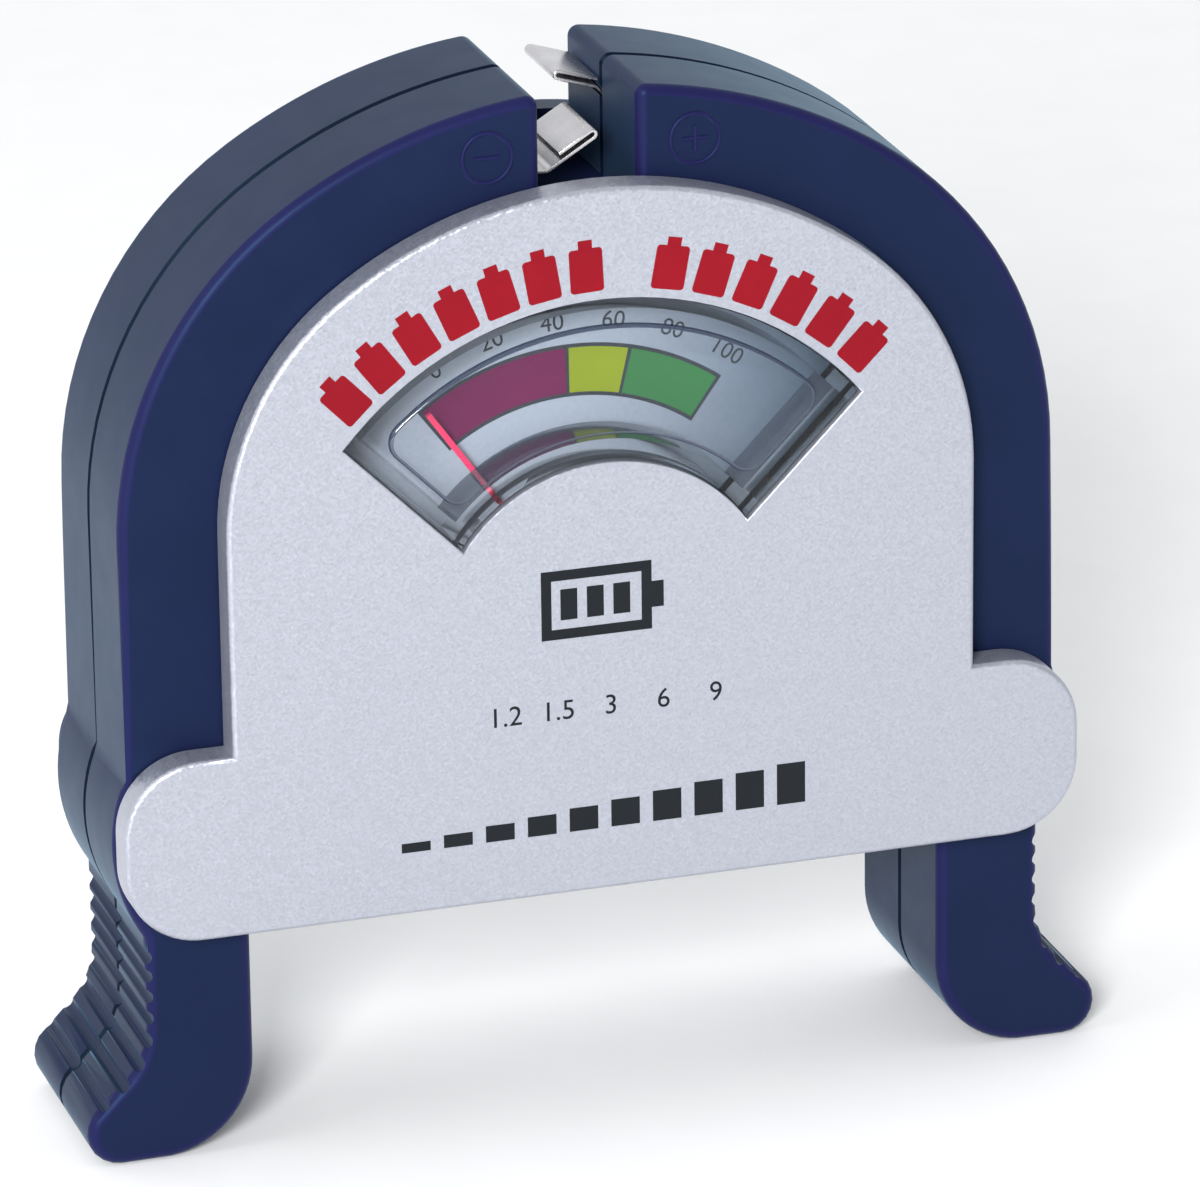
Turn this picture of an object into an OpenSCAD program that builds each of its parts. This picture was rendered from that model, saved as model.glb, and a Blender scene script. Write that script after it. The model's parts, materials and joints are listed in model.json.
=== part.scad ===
// Squeeze-handle battery tester: two sprung arms on a fixed body that holds a moving-coil meter.
// +X is right, +Y is rear, +Z is up. The origin is under the middle of the object, on the surface
// that its two handles stand on. Outlines are drawn in the XZ plane, with height 0 at the lower
// edge of the body, and each one is given its depth along Y by slab().

/* [Body] */
// Width of the body across its two pivots
bar_w = 80; // [76:0.5:84]
// Height of the wide lower part of the body
bar_h = 15.2; // [14:0.2:17]
// Radius of the body's four lower corners
bar_corner = 6.2; // [3:0.2:7]
// Half width of the arched upper part of the body
arch_half = 31; // [30:0.5:31.5]
// Height of the top of the arch above the body's lower edge
arch_top = 58.8; // [57:0.2:59.5]
// Thickness of the front and rear covers
cover_t = 3.08; // [2.8:0.05:3.4]

/* [Arms] */
// Depth of one half shell of an arm, from the joint line to its outer face
shell_d = 9.45; // [9:0.05:10]
// Wall thickness of the arm shells
wall = 1.3; // [1:0.1:1.6]
// Half width of the object across the outer faces of the arms
arm_half = 38.9; // [38:0.1:39.5]
// Height of the top of the arms above the body's lower edge
arm_top = 66; // [65:0.1:67]
// Clear width between the two jaws when they are closed
jaw_gap = 8; // [7:0.2:10]
// Distance of each pivot from the middle
pivot_x = 31.5; // [31:0.1:32]
// Height of the pivots above the body's lower edge
pivot_z = 7.6; // [7.2:0.1:8]

/* [Meter] */
// Outer radius of the window, about the pointer's axis
window_ro = 27.8; // [27:0.1:28.2]
// Inner radius of the window
window_ri = 14.3; // [14:0.1:15]
// Height of the pointer's axis above the body's lower edge
meter_z = 21.9; // [21.5:0.1:22.5]
// Depth of the dial's face behind the front of the body
dial_depth = 8.8; // [8.6:0.1:9.2]
// Radius of the pointer's tip
pointer_r = 21.3; // [20:0.1:22]
// Angle of the pointer at rest, from straight up, in degrees
pointer_rest = 35.5; // [34:0.5:37]

/* [Hidden] */
$fn = 96;

gap = 0.2;                                  // between the arms' faces and the covers
cover_y = shell_d + gap;                    // inner face of each cover
face_y = cover_y + cover_t;                 // outer face of each cover
cover_skin = 1.63;                          // what is left in front of the cover's pocket
pocket_y = face_y - cover_skin;

// Each arch is a top arc and two side arcs that meet it tangentially: half width, top, radii
COVER_ARCH = [arch_half, arch_top, 36.2, 23.4];
ARM_ARCH = [arm_half, arm_top, 45.1, 31.5];
INNER_ARCH = [28.8, 56, 34.5, 21.5];
CASE_ARCH = [28.4, 55.6, 34.1, 21.1];
arc_steps = 16;

jaw_corner = 0.9;                           // radius of the upper corner of each jaw
case_wall = 1.6;
rear_ear_trim = 0.9;
case_foot = 1.2;                            // height of the case's lower wall above the body's edge
scoop_r = 9.6;                              // room that the case leaves round each pivot
hub_r = 7.2;

// The rounded side of an arm beside its pivot
bulge_x = 25.65;
bulge_z = 7.24;
bulge_r = 14.45;

// The handle: its side faces, its flared toe and its rounded inner corner
leg_in = 29.1;
leg_out = 37.8;
flare_z = -8;
flare_r = 7;
flare_a = 50;
toe_x = 40.2;
toe_z = -17.1;
toe_r = 2.75;
heel_x = 36.9;
heel_z = -12.05;
heel_r = 7.8;
stand_h = toe_r - toe_z;                    // height of the body's lower edge above the surface

// Grip grooves down the outer side of a handle
groove_n = 8;
groove_r = 0.62;
groove_out = 0.12;
groove_top = -0.7;
groove_pitch = 1.5;
groove_grow = 0.05;                         // how the pitch grows down the handle

pin_r = 1.5;
pin_fit = 0.08;
pin_end = face_y - 1;
boss_r = 3.2;
boss_y = 2.8;

// Screws: positions are [x, height]
ARM_SCREWS = [[21.5, 57.3], [35.2, 28], [33.4, -9]];
COVER_SCREWS = [[22.8, 30], [11, 5.6]];
arm_screw_r = 0.9;
arm_head_r = 1.9;
arm_head_t = 1.1;
arm_post_r = 2.7;
cover_screw_r = 1.2;
cover_head_r = 2.3;
cover_head_t = 1.5;
cover_post_r = 2.4;
cover_post_y = 6;                           // where the front and rear screw posts meet
screw_fit = 0.2;

// Contact strips: a path of [x, height] from the soldered end, out of the jaw, and back over
// itself round a fold at the tip
contact_t = 0.3;
contact_y = [0.2, 8];
contact_play = 0.1;
fold_r = 0.3;
LEFT_CONTACT = concat([[-15.5, 57.8], [-7, 59.2], [-3, 59.1]],
    folded([-2.5, 59.38], 31.6, 4.05, 3.1));
RIGHT_CONTACT = mirrored(concat([[-15.5, 57.8], [-8.5, 60.9], [-5.7, 60.9]],
    folded([-3.66, 63.05], 17, 3.33, 3.35)));
web_x = [8.5, 10.5];                        // the rib inside each shell that holds the strip

// Openings for the leads between the arms and the case, [low, high]
lead_notch_z = [16.6, 20];
lead_notch_y = 1.2;

// Arm springs
wire_r = 0.4;
coil_r = 3.1;
coil_y = 2.2;
coil_a = 2070;                              // how far the coil winds, in degrees
coil_n = 104;
case_leg_l = 8.4;                           // length of the leg that rests on the case

// Leads, from the contact's soldered end down the arm to the terminal lug
lead_r = 0.6;
lead_y = 5;
LEAD = [[15, 56.9], [18, 55], [23, 51], [27, 46], [30, 40], [31.4, 34], [31.5, 28], [31.3, 23],
    [30.6, 19.6], [28.6, 18.1], [25, 18], [21.6, 16.6], [19, 14.8], [17.4, 14.8]];

// Window and lens
window_a = 45;                              // angle of the window's straight edges
window_apex = 18.2;                         // height at which the straight edges would meet
lens_flange = 1.2;
lens_play = 0.15;
lens_t = 1.2;
lens_y = face_y - 0.55;
lens_back = 6.6;
pad_in = 2.2;
pad_corner = 1.8;

// Meter movement, all about the pointer's axis. Pairs are the two ends or the two radii of a piece.
dial_y = face_y - dial_depth;
dial_t = 0.4;
case_half = 16.5;
case_low = 9;
case_high = 47.5;
staff_r = 0.35;
staff_y = [-6.9, 7.3];
staff_room = 2 * staff_r;                   // radius of the hole that the staff turns in
needle_w = 0.46;
needle_y = [-5.6, -5.2];
needle_tail = 6;
move_y = [-1.5, 5.5];                       // depth of the magnet and the yoke
former_x = [4.75, 5.6];                     // inner and outer half width of the moving coil
former_w = 1.6;
core_r = 4.2;
magnet_r = [6, 9.6];
yoke_r = 11;
jewel_r = 1.1;
jewel_cup_r = staff_r + 0.05;
bridge_half_z = 1.6;
spiral_turns = 4;
spiral_r = 3;
spiral_w = 0.14;
spiral_h = 0.3;

// Terminal lugs on the meter's case, and the resistors soldered across them
lug_z = [14, 27.2];
lug_y = [1, 6];
lug_t = 0.4;
lug_reach = 2.7;
resistor_x = 20.4;
resistor_y = 1.9;
resistor_z = 21.4;
resistor_leg_r = 0.25;

// ---- outlines ----

function arc(c, r, a0, a1, n = arc_steps) =
    [for (i = [0:n]) c + r * [cos(a0 + (a1 - a0) * i / n), sin(a0 + (a1 - a0) * i / n)]];

// Parts of an arch [half width, top, top radius, side radius]
function side_x(s) = s[0] - s[3];
function top_z(s) = s[1] - s[2];
function side_z(s) = top_z(s) + sqrt(pow(s[2] - s[3], 2) - pow(side_x(s), 2));
function turn_a(s) = acos(side_x(s) / (s[2] - s[3]));

// The right half of an arch, from its side up to the given distance from the middle
function half_arch(s, x_end) = concat(
    arc([side_x(s), side_z(s)], s[3], 0, turn_a(s)),
    arc([0, top_z(s)], s[2], turn_a(s), acos(x_end / s[2])));

function flip(points) = [for (i = [len(points) - 1:-1:0]) points[i]];
function mirrored(points) = [for (p = points) [-p[0], p[1]]];

module arch(s, foot) {
    half = half_arch(s, 0);
    polygon(concat([[s[0], foot]], half, flip(mirrored(half)), [[-s[0], foot]]));
}

// The covers' outline. trim draws its two ears in at their ends and tops.
module body_outline(trim = 0) {
    arch(COVER_ARCH, bar_h / 2);
    bar_x = bar_w / 2 - bar_corner - trim;
    bar_z = bar_h - bar_corner - trim;
    polygon(concat(
        arc([bar_x, bar_corner], bar_corner, -90, 0),
        arc([bar_x, bar_z], bar_corner, 0, 90),
        arc([-bar_x, bar_z], bar_corner, 90, 180),
        arc([-bar_x, bar_corner], bar_corner, 180, 270)));
}

module case_outline() {
    difference() {
        arch(CASE_ARCH, case_foot);
        for (side = [-1, 1])
            translate([side * pivot_x, pivot_z]) circle(scoop_r);
    }
}

// The window's fan shape, made larger all round by grow
function fan_reach(r, apex) =
    let (d = apex - meter_z, along = d * cos(window_a))
    sqrt(along * along - d * d + r * r) - along;
function fan_corner(r, apex) =
    [0, apex] + fan_reach(r, apex) * [sin(window_a), cos(window_a)];
function fan_angle(r, apex) =
    let (p = fan_corner(r, apex)) atan2(p[1] - meter_z, p[0]);
function fan(grow, r_in) =
    let (apex = window_apex - grow / sin(window_a), ro = window_ro + grow,
        a_out = fan_angle(ro, apex), a_in = fan_angle(r_in, apex))
    concat(
        arc([0, meter_z], ro, a_out, 180 - a_out, 2 * arc_steps),
        arc([0, meter_z], r_in, 180 - a_in, a_in, 2 * arc_steps));

module window(grow) {
    polygon(fan(grow, window_ri - grow));
}

module arm_outline() {
    crease_a = acos((arm_half - bulge_x) / bulge_r);
    low_a = acos((leg_out - bulge_x) / bulge_r);
    jaw = jaw_gap / 2;
    corner_x = jaw + jaw_corner;
    arch_r = ARM_ARCH[2];
    corner_a = acos(corner_x / (arch_r - jaw_corner));
    polygon(concat(
        arc([corner_x, top_z(ARM_ARCH) + (arch_r - jaw_corner) * sin(corner_a)], jaw_corner,
            180, corner_a, 8),
        flip(half_arch(ARM_ARCH, arch_r * cos(corner_a))),
        arc([bulge_x, bulge_z], bulge_r, crease_a, -low_a),
        arc([leg_out + flare_r, flare_z], flare_r, 180, 180 + flare_a),
        arc([toe_x, toe_z], toe_r, flare_a, -90, 8),
        arc([heel_x, heel_z], heel_r, -90, -180),
        [[leg_in, pivot_z], [INNER_ARCH[0], pivot_z]],
        half_arch(INNER_ARCH, jaw)));
    translate([pivot_x, pivot_z]) circle(hub_r);
}

// A point on the handle's outer side at a distance along it below the groove line's top
drop = groove_top - flare_z;
bend = flare_r * PI * flare_a / 180;
function grip_point(s) =
    s < drop ? [leg_out, groove_top - s]
    : s < drop + bend ? [leg_out + flare_r, flare_z]
        - flare_r * [cos((s - drop) / flare_r * 180 / PI), sin((s - drop) / flare_r * 180 / PI)]
    : [leg_out + flare_r, flare_z] - flare_r * [cos(flare_a), sin(flare_a)]
        + (s - drop - bend) * [sin(flare_a), -cos(flare_a)];
function grip_normal(s) =
    let (a = s < drop ? 0 : min(s - drop, bend) / flare_r * 180 / PI) [cos(a), sin(a)];

// ---- strips and wires ----

function unit(v) = v / norm(v);
function left_of(a, b) = let (d = unit(b - a)) [-d[1], d[0]];
function mitre(p, i) =
    let (n0 = left_of(p[max(i - 1, 0)], p[max(i, 1)]),
        n1 = left_of(p[min(i, len(p) - 2)], p[min(i + 1, len(p) - 1)]))
    (n0 + n1) / (1 + n0 * n1);
function ribbon_side(p, off) = [for (i = [0:len(p) - 1]) p[i] + off * mitre(p, i)];
function ribbon(p, t) = concat(ribbon_side(p, t / 2), flip(ribbon_side(p, -t / 2)));

// A strip that runs out from start at angle a, folds over to its left and comes back
function folded(start, a, out, back) =
    let (d = [cos(a), sin(a)], up = [-sin(a), cos(a)], tip = start + out * d)
    concat([start], arc(tip + fold_r * up, fold_r, a - 90, a + 90, 4),
        [tip + 2 * fold_r * up - back * d]);

// A round wire along a path that never runs along Y
function tangent(p, i) = unit(p[min(i + 1, len(p) - 1)] - p[max(i - 1, 0)]);
function wire_ring(p, i, r, sides) =
    let (t = tangent(p, i), n = unit(cross(t, [0, 1, 0])), b = cross(n, t))
    [for (k = [0:sides - 1]) p[i] + r * (cos(360 * k / sides) * n + sin(360 * k / sides) * b)];

module wire(p, r, sides = 8) {
    last = len(p) - 1;
    points = [for (i = [0:last]) each wire_ring(p, i, r, sides)];
    side_faces = [for (i = [0:last - 1], k = [0:sides - 1])
        let (a = i * sides + k, b = i * sides + (k + 1) % sides)
        each [[a, b, b + sides], [a, b + sides, a + sides]]];
    ends = [[for (k = [sides - 1:-1:0]) k], [for (k = [0:sides - 1]) last * sides + k]];
    polyhedron(points, concat(side_faces, ends));
}

// ---- placing ----

// Gives an XZ outline its depth, from y0 to y1
module slab(y0, y1) {
    translate([0, y1, stand_h]) rotate([90, 0, 0]) linear_extrude(y1 - y0) children();
}

// A round bar or hole along Y at [x, height]
module rod(at, r, y0, y1) {
    translate([at[0], y1, stand_h + at[1]]) rotate([90, 0, 0]) cylinder(h = y1 - y0, r = r);
}

module both_sides() {
    children();
    mirror([1, 0, 0]) children();
}

meter = [0, meter_z];
pivot = [pivot_x, pivot_z];

// ---- body ----

module front_cover() color("silver") {
    difference() {
        union() {
            difference() {
                slab(-face_y, -cover_y) body_outline();
                slab(-pocket_y, -cover_y + 1) offset(delta = -case_wall - gap) case_outline();
            }
            both_sides() for (at = COVER_SCREWS) rod(at, cover_post_r, -pocket_y - 0.1, cover_post_y);
        }
        slab(-face_y - 1, -cover_y) window(0);
        both_sides() {
            for (at = COVER_SCREWS) rod(at, cover_screw_r, -cover_y, cover_post_y + 1);
            rod(pivot, pin_r, -pin_end, 0);
        }
    }
}

module rear_case() color("midnightblue") {
    difference() {
        union() {
            slab(cover_y, face_y) body_outline(rear_ear_trim);
            slab(-cover_y, cover_y + 0.1) difference() {
                case_outline();
                offset(delta = -case_wall) case_outline();
            }
            both_sides() for (at = COVER_SCREWS) rod(at, cover_post_r, cover_post_y, cover_y + 0.1);
        }
        both_sides() {
            for (at = COVER_SCREWS) {
                rod(at, cover_screw_r + screw_fit, cover_post_y - 1, face_y);
                rod(at, cover_head_r + screw_fit, face_y - cover_head_t - screw_fit, face_y + 1);
            }
            rod(pivot, pin_r, 0, pin_end);
        }
        lead_notch(1, CASE_ARCH[0] - 4);
        mirror([1, 0, 0]) lead_notch(-1, CASE_ARCH[0] - 4);
    }
}

// Where a lead passes from an arm into the case; side is the half of the arm it lies in
module lead_notch(side, x0) {
    translate([x0, side * lead_y - lead_notch_y, stand_h + lead_notch_z[0]])
        cube([7, 2 * lead_notch_y, lead_notch_z[1] - lead_notch_z[0]]);
}

module cover_screws() color("silver") {
    head_y = face_y - 0.15;
    tip_y = -2;
    both_sides() for (at = COVER_SCREWS) difference() {
        union() {
            rod(at, cover_screw_r, tip_y, head_y - cover_head_t + 0.1);
            rod(at, cover_head_r, head_y - cover_head_t, head_y);
        }
        cross_slot(at, head_y);
    }
}

module cross_slot(at, y) {
    slot = [2.6, 0.6];
    depth = 0.6;
    translate([at[0], y - depth, stand_h + at[1]]) for (k = [0, 1])
        translate([-slot[k] / 2, 0, -slot[1 - k] / 2]) cube([slot[k], depth + 1, slot[1 - k]]);
}

// ---- lens, dial and meter ----

module lens() color("lightblue", 0.4) {
    difference() {
        union() {
            slab(-pocket_y, -pocket_y + 1) window(lens_flange);
            slab(-lens_y, -lens_back) window(-lens_play);
            slab(-face_y + 0.1, -lens_y + 0.1) offset(r = pad_corner) offset(delta = -pad_corner)
                window(-pad_in);
        }
        slab(-lens_y + lens_t, 0) window(-lens_play - lens_t);
    }
}

// The meter case's rectangular outline, made smaller all round by inset
module case_block(inset) {
    half = case_half - inset;
    low = case_low + inset;
    high = case_high - inset;
    polygon([[-half, low], [half, low], [half, high], [-half, high]]);
}

module meter_case() color("dimgray") {
    case_t = 1.2;
    jewel_hole_r = 2.5;
    difference() {
        slab(-dial_y + dial_t, cover_y) case_block(0);
        difference() {
            slab(-dial_y, cover_y - case_t) case_block(case_t);
            difference() {
                rod(meter, yoke_r + case_t, move_y[0], cover_y);
                rod(meter, yoke_r, -dial_y, cover_y);
            }
        }
        rod(meter, jewel_hole_r, 0, cover_y + 1);
    }
}

module dial_plate() color("gainsboro") {
    eye_r = 4;
    difference() {
        slab(-dial_y, -dial_y + dial_t) polygon(fan(0.6, eye_r));
        rod(meter, eye_r, -dial_y - 1, 0);
    }
}

// Turns what it holds about the pointer's axis, clockwise from the front
module about_meter(a) {
    translate([0, 0, stand_h + meter_z]) rotate([0, a, 0]) translate([0, 0, -stand_h - meter_z])
        children();
}

module pointer() color("crimson") {
    half = needle_w / 2;
    low = meter_z - needle_tail;
    high = meter_z + pointer_r;
    hub = 1.5;
    weight = 1;
    difference() {
        about_meter(-pointer_rest) {
            slab(needle_y[0], needle_y[1])
                polygon([[-half, low], [half, low], [half, high], [-half, high]]);
            rod(meter, hub, needle_y[0], needle_y[1]);
            rod([0, low], weight, needle_y[0], needle_y[1]);
        }
        rod(meter, staff_r, needle_y[0] - 1, needle_y[1] + 1);
    }
}

module pointer_staff() color("silver") {
    rod(meter, staff_r, staff_y[0], staff_y[1]);
}

// A block about the meter's axis, from y0 to y1 deep
module meter_block(half_x, y0, y1, half_z) {
    translate([-half_x, y0, stand_h + meter_z - half_z]) cube([2 * half_x, y1 - y0, 2 * half_z]);
}

module moving_coil() color("chocolate") {
    end_t = 0.55;
    room_y = [move_y[0] + 0.25, move_y[1] - 0.25];
    outer_y = [move_y[0] - end_t, move_y[1] + end_t];
    difference() {
        about_meter(-pointer_rest) difference() {
            meter_block(former_x[1], outer_y[0], outer_y[1], former_w / 2);
            meter_block(former_x[0], room_y[0], room_y[1], former_w);
        }
        rod(meter, staff_r, outer_y[0] - 1, outer_y[1] + 1);
    }
}

module iron_core() color("slategray") {
    ear_w = 1.6;
    ear_y = [0, 4];
    play = 0.5;
    difference() {
        union() {
            rod(meter, core_r, move_y[0] + play, move_y[1] - play);
            intersection() {
                rod(meter, magnet_r[0] - 0.03, ear_y[0], ear_y[1]);
                meter_block(ear_w / 2, ear_y[0], ear_y[1], magnet_r[0]);
            }
        }
        rod(meter, staff_room, move_y[0], move_y[1]);
    }
}

// A ring with a slot on its right side
module magnet() color("darkslategray") {
    slot = 4;
    difference() {
        rod(meter, magnet_r[1], move_y[0], move_y[1]);
        rod(meter, magnet_r[0], move_y[0] - 1, move_y[1] + 1);
        translate([magnet_r[0] / 2, move_y[0] - 1, stand_h + meter_z - slot / 2])
            cube([magnet_r[1], move_y[1] - move_y[0] + 2, slot]);
    }
}

module yoke_ring() color("gray") {
    difference() {
        rod(meter, yoke_r, move_y[0], move_y[1]);
        rod(meter, magnet_r[1], move_y[0] - 1, move_y[1] + 1);
    }
}

// A bar that holds a jewel screw, on two legs: outer half width, depth of the bar, and of the legs
module bridge(half_x, bar_y, leg_y, leg_t) {
    difference() {
        union() {
            meter_block(half_x, bar_y[0], bar_y[1], bridge_half_z);
            difference() {
                meter_block(half_x, leg_y[0], leg_y[1], bridge_half_z);
                meter_block(half_x - leg_t, leg_y[0] - 1, leg_y[1] + 1, bridge_half_z + 1);
            }
        }
        rod(meter, jewel_r, bar_y[0] - 1, bar_y[1] + 1);
    }
}

module front_bridge() color("goldenrod") {
    bridge(12.4, [-8.3, -7.5], [-8.3, -dial_y], 1.2);
}

module rear_bridge() color("goldenrod") {
    bridge(10.8, [7.5, 8.2], [move_y[1], 8.2], 1.1);
}

// A threaded jewel bearing with a cup for the staff's end
module jewel_screw(y0, y1, cup_y0, cup_y1) {
    difference() {
        rod(meter, jewel_r, y0, y1);
        rod(meter, jewel_cup_r, cup_y0, cup_y1);
    }
}

module front_jewel_screw() color("khaki") {
    jewel_screw(-9.2, -6.4, staff_y[0] - 0.1, 0);
}

module rear_jewel_screw() color("khaki") {
    jewel_screw(7, 9.4, 0, staff_y[1] + 0.1);
}

module hairspring(y) {
    steps = 22 * spiral_turns;
    start_r = staff_r + 0.12;
    spiral = [for (i = [0:steps]) let (a = 360 * spiral_turns * i / steps)
        meter + (start_r + spiral_r * i / steps) * [cos(a), sin(a)]];
    slab(y, y + spiral_h) polygon(ribbon(spiral, spiral_w));
}

module front_hairspring() color("darkgoldenrod") {
    hairspring(-3.1);
}

module rear_hairspring() color("darkgoldenrod") {
    hairspring(6.4);
}

module terminal_lugs() color("goldenrod") {
    for (side = [0, 1], z = lug_z)
        mirror([side, 0, 0]) mirror([0, side, 0])
            translate([case_half, lug_y[0], stand_h + z - lug_t / 2])
                cube([lug_reach, lug_y[1] - lug_y[0], lug_t]);
}

// An axial resistor standing beside the meter, with its two legs bent over to the lugs
module resistor(body_r, half_l) {
    bent_l = 2.6;
    lug_top = lug_t / 2 + resistor_leg_r;
    translate([resistor_x, resistor_y, stand_h]) {
        translate([0, 0, resistor_z - half_l]) cylinder(h = 2 * half_l, r = body_r);
        translate([0, 0, lug_z[0] + lug_top])
            cylinder(h = lug_z[1] - lug_z[0], r = resistor_leg_r);
        for (z = lug_z) translate([0, 0, z + lug_top]) {
            rotate([0, -90, 0]) cylinder(h = bent_l, r = resistor_leg_r);
            sphere(resistor_leg_r);
        }
    }
}

module load_resistor() color("tan") {
    resistor(1.5, 3.3);
}

module series_resistor() color("steelblue") {
    mirror([1, 0, 0]) mirror([0, 1, 0]) resistor(1.1, 2.9);
}

// ---- arms ----

// One half shell of the right arm: side is 1 for the rear half and -1 for the front half.
// strip is the path of the contact that it holds, if it holds one.
module arm_half_shell(side, strip = []) {
    rear = side > 0;
    inner = shell_d - wall;
    spring_slot_x = [pivot_x - hub_r - 1, pivot_x - hub_r + 2.7];
    spring_slot_z = [pivot_z - 5, pivot_z + 4.6];
    difference() {
        union() {
            difference() {
                half_slab(side, 0, shell_d) arm_outline();
                half_slab(side, -0.1, inner) offset(delta = -wall) arm_outline();
            }
            for (at = ARM_SCREWS) half_rod(side, at, arm_post_r, 0, inner + 0.1);
            half_rod(side, pivot, boss_r, boss_y, inner + 0.1);
            intersection() {
                half_slab(side, 0.1, inner + 0.1) arm_outline();
                translate([web_x[0], -shell_d, 0])
                    cube([web_x[1] - web_x[0], 2 * shell_d, 2 * arm_top]);
            }
        }
        half_rod(side, pivot, pin_r + pin_fit, -1, shell_d + 1);
        if (len(strip) > 0)
            slab(-inner, inner) polygon(ribbon(strip, contact_t + 2 * contact_play));
        translate([spring_slot_x[0], -boss_y, stand_h + spring_slot_z[0]])
            cube([spring_slot_x[1] - spring_slot_x[0], 2 * boss_y,
                spring_slot_z[1] - spring_slot_z[0]]);
        for (at = ARM_SCREWS) {
            half_rod(side, at, rear ? arm_screw_r + screw_fit : arm_screw_r, -1,
                rear ? shell_d + 1 : inner - 1);
            if (rear) half_rod(side, at, arm_head_r + screw_fit, shell_d - wall, shell_d + 1);
        }
        for (i = [1:groove_n]) {
            s = groove_pitch * i + groove_grow * i * i;
            half_rod(side, grip_point(s) + groove_out * grip_normal(s), groove_r, -1, shell_d + 1);
        }
    }
}

// slab() and rod() measured outward from the joint line, on one side of it
module half_slab(side, a, b) {
    slab(side > 0 ? a : -b, side > 0 ? b : -a) children();
}

module half_rod(side, at, r, a, b) {
    rod(at, r, side > 0 ? a : -b, side > 0 ? b : -a);
}

module right_arm_front_shell() color("darkslateblue") {
    arm_half_shell(-1);
}

module right_arm_rear_shell() color("darkslateblue") {
    difference() {
        arm_half_shell(1, RIGHT_CONTACT);
        lead_notch(1, INNER_ARCH[0] - 1);
    }
}

module left_arm_front_shell() color("darkslateblue") {
    mirror([1, 0, 0]) difference() {
        arm_half_shell(-1, mirrored(LEFT_CONTACT));
        lead_notch(-1, INNER_ARCH[0] - 1);
    }
}

module left_arm_rear_shell() color("darkslateblue") {
    mirror([1, 0, 0]) arm_half_shell(1);
}

module right_contact() color("lightgray") {
    slab(contact_y[0], contact_y[1]) polygon(ribbon(RIGHT_CONTACT, contact_t));
}

module left_contact() color("lightgray") {
    slab(-contact_y[1], -contact_y[0]) polygon(ribbon(LEFT_CONTACT, contact_t));
}

module right_pivot_pin() color("silver") {
    rod(pivot, pin_r, -pin_end, pin_end);
}

module left_pivot_pin() color("silver") {
    mirror([1, 0, 0]) right_pivot_pin();
}

// Torsion spring: a leg against the case, the coil round the pin, and a leg up inside the arm
module arm_spring() {
    case_leg = [[pivot_x - case_leg_l, -coil_y, pivot_z + coil_r]];
    arm_leg = [[28.6, coil_y, pivot_z + 2.4], [31.2, coil_y, 14.4], [31.3, coil_y, 18]];
    turns = [for (i = [0:coil_n]) let (a = 90 - coil_a * i / coil_n)
        [pivot_x + coil_r * cos(a), -coil_y + 2 * coil_y * i / coil_n, pivot_z + coil_r * sin(a)]];
    translate([0, 0, stand_h]) wire(concat(case_leg, turns, arm_leg), wire_r);
}

module right_arm_spring() color("darkgray") {
    arm_spring();
}

module left_arm_spring() color("darkgray") {
    mirror([1, 0, 0]) arm_spring();
}

module lead() {
    translate([0, 0, stand_h]) wire([for (p = LEAD) [p[0], lead_y, p[1]]], lead_r);
}

module right_lead() color("firebrick") {
    lead();
}

module left_lead() color("black") {
    mirror([0, 1, 0]) mirror([1, 0, 0]) lead();
}

module arm_screws() {
    head_y = shell_d - 0.1;
    tip_y = -6;
    for (at = ARM_SCREWS) difference() {
        union() {
            rod(at, arm_screw_r, tip_y, head_y - arm_head_t + 0.1);
            rod(at, arm_head_r, head_y - arm_head_t, head_y);
        }
        cross_slot(at, head_y);
    }
}

module right_arm_screws() color("silver") {
    arm_screws();
}

module left_arm_screws() color("silver") {
    mirror([1, 0, 0]) arm_screws();
}

front_cover();
rear_case();
lens();
meter_case();
dial_plate();
pointer();
pointer_staff();
moving_coil();
iron_core();
magnet();
yoke_ring();
front_bridge();
rear_bridge();
front_jewel_screw();
rear_jewel_screw();
front_hairspring();
rear_hairspring();
terminal_lugs();
load_resistor();
series_resistor();
left_arm_front_shell();
left_arm_rear_shell();
right_arm_front_shell();
right_arm_rear_shell();
left_contact();
right_contact();
left_pivot_pin();
right_pivot_pin();
left_arm_spring();
right_arm_spring();
left_lead();
right_lead();
left_arm_screws();
right_arm_screws();
cover_screws();
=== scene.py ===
"""Looks for the squeeze-handle battery tester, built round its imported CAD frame.

Blender works in metres. The outlines here are in millimetres, as in the CAD, with height 0 at the
lower edge of the body, and to_frame() turns them into the frame's metres.
"""

import json
import math

import bmesh
import bpy
from mathutils import Matrix, Vector


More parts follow.
